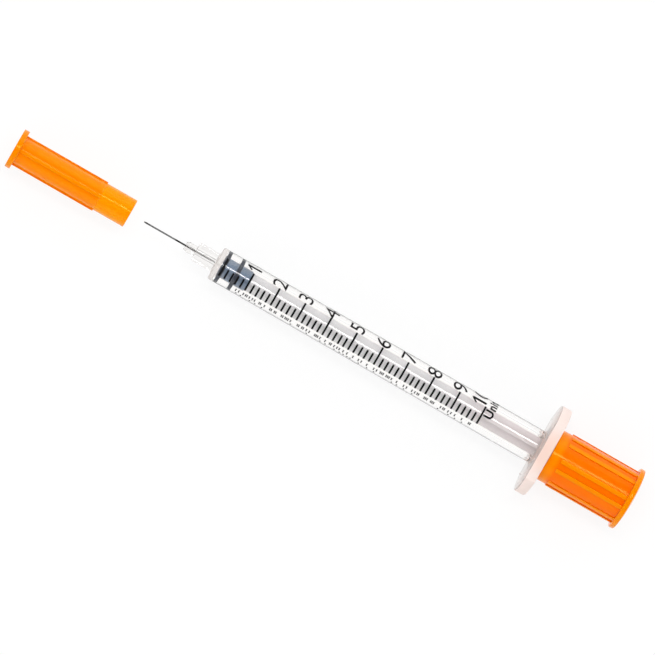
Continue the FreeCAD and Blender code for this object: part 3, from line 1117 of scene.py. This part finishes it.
upper_bar = curved_bar(0.22, 0.8, 42)
lower_bar = curved_bar(0.26, 0.45, 60)
patterns = ((upper_bar, upper_bar), (upper_bar, upper_bar, upper_bar), (upper_bar, lower_bar, upper_bar),
            (lower_bar, upper_bar), (upper_bar, lower_bar))
bar_pitch = 0.32
group_gaps = (0.2, 0.35, 0.5, 0.9)
chance = random.Random(7)
bar_places = []
x = scale_start + 4.2
while x < scale_end - 0.9:
    for bar in chance.choice(patterns):
        bar_places.append((bar, x))
        x += bar_pitch
    x += chance.choice(group_gaps)
print("printed", print_row("small_print", bar_places, number_ink), "bars")

# %% [markdown]
# ## A pale stage and soft light
#
# The photograph has a bright white ground with no visible edge. The floor and the world are white for
# rays that come from the camera, a reflection or a refraction, and only soft light falls on the syringe
# itself. A small share of the floor stays a matt surface, so that it keeps a faint shadow.

# %% Floor
bpy.context.scene.view_settings.view_transform = "Standard"
FLOOR_SIZE = 4
FLOOR_GAP = 0.0002
GLOW_SHARE = 0.85
pick()
bpy.ops.mesh.primitive_plane_add(size=FLOOR_SIZE, location=(0, 0, -FLOOR_GAP))
floor = bpy.context.object
floor.name = "floor"


def light_path(graph, kind):
    """Whether a ray is of one kind: 1 or 0."""
    return graph.node("ShaderNodeLightPath", output=kind)


def make_floor():
    material = bpy.data.materials.new("pale_floor")
    material.use_nodes = True
    graph = Graph(material.node_tree)
    graph.tree.nodes.remove(graph.tree.nodes["Principled BSDF"])
    seen = light_path(graph, "Is Camera Ray") + light_path(graph, "Is Glossy Ray")
    seen = seen + light_path(graph, "Is Transmission Ray")
    matt = graph.node("ShaderNodeBsdfDiffuse", {}, {"Color": (0.95, 0.95, 0.95, 1)})
    glow = graph.node("ShaderNodeEmission", {}, {"Color": (1, 1, 1, 1), "Strength": 1.0})
    both = graph.node("ShaderNodeMixShader", {}, {0: seen * GLOW_SHARE, 1: matt, 2: glow})
    feed(graph.tree, graph.tree.nodes["Material Output"].inputs["Surface"], both)
    return material


floor.data.materials.append(make_floor())
print("floor placed")

# %% [markdown]
# The world is one white room. A reflection is the exception: high above the syringe the room is dim, so
# that glossy plastic and rubber keep their depth of colour instead of mirroring a white ceiling.

# %% World
CAMERA_WHITE = 1.0
ROOM_IN_GLASS = 1.0
DIM_ABOVE = 0.08
DIM_FROM = 0.3
DIM_TO = 0.75
ROOM_LIGHT = 0.8


def make_world():
    world = bpy.data.worlds.new("studio")
    world.use_nodes = True
    graph = Graph(world.node_tree)
    camera_ray = light_path(graph, "Is Camera Ray")
    glossy_ray = light_path(graph, "Is Glossy Ray")
    glass_ray = light_path(graph, "Is Transmission Ray")
    direction = graph.node("ShaderNodeTexCoord", output="Generated")
    height = graph.node("ShaderNodeSeparateXYZ", {}, {"Vector": direction}, "Z")
    above = graph.node("ShaderNodeMapRange", {"interpolation_type": "SMOOTHSTEP"},
                       {"Value": height, "From Min": DIM_FROM, "From Max": DIM_TO})
    in_gloss = ROOM_IN_GLASS + above * (DIM_ABOVE - ROOM_IN_GLASS)
    around = glossy_ray * in_gloss + (1 - glossy_ray) * ROOM_LIGHT
    around = glass_ray * ROOM_IN_GLASS + (1 - glass_ray) * around
    level = camera_ray * CAMERA_WHITE + (1 - camera_ray) * around
    background = graph.tree.nodes["Background"]
    background.inputs["Color"].default_value = (1, 1, 1, 1)
    feed(graph.tree, background.inputs["Strength"], level)
    return world


bpy.context.scene.world = make_world()
print("world set")

# %% Lamps
LOOK_AT = Vector((-47.795 * MM, -0.096 * MM, AXIS_HEIGHT))


def soft_box(name, place, width, height, level):
    """A rectangular lamp that faces the syringe. Its level is how brightly it lights a white surface."""
    lamp = bpy.data.lights.new(name, "AREA")
    lamp.shape = "RECTANGLE"
    lamp.size = width
    lamp.size_y = height
    away = Vector(place) - LOOK_AT
    lamp.energy = level * math.pi ** 2 * away.length ** 2
    holder = bpy.data.objects.new(name, lamp)
    bpy.context.scene.collection.objects.link(holder)
    holder.location = place
    holder.rotation_euler = away.to_track_quat("Z", "Y").to_euler()


soft_box("key_light", (-0.1, 0.2, 0.79), width=0.5, height=0.12, level=0.3)
soft_box("side_light", (-0.1, 0.75, 0.45), width=0.6, height=0.5, level=0.09)
soft_box("fill_light", (-0.1, -0.7, 0.5), width=0.6, height=0.5, level=0.07)
print("lamps placed")

# %% [markdown]
# ## The camera
#
# The syringe was photographed from almost straight above with a long lens, and turned thirty degrees in
# the picture. The camera's axes are worked out from that turn and a small lean towards the needle.

# %% Camera
CAMERA_DISTANCE = 1.19
CAMERA_LEAN = math.radians(2.7)
PICTURE_TURN = math.radians(29.84)
SENSOR = 36.0
LENS = 340.5
lean_back = Vector((-math.sin(CAMERA_LEAN), 0, math.cos(CAMERA_LEAN)))
along_syringe = Vector((math.cos(CAMERA_LEAN), 0, math.sin(CAMERA_LEAN)))
across_syringe = Vector((0, 1, 0))
right = along_syringe * math.cos(PICTURE_TURN) + across_syringe * math.sin(PICTURE_TURN)
up = across_syringe * math.cos(PICTURE_TURN) - along_syringe * math.sin(PICTURE_TURN)
camera = bpy.data.objects.new("camera", bpy.data.cameras.new("camera"))
bpy.context.scene.collection.objects.link(camera)
camera.data.sensor_width = SENSOR
camera.data.lens = LENS
turn = Matrix((right, up, lean_back)).transposed().to_4x4()
camera.matrix_world = Matrix.Translation(LOOK_AT + lean_back * CAMERA_DISTANCE) @ turn
bpy.context.scene.camera = camera
print("camera at", [round(value, 3) for value in camera.matrix_world.translation])
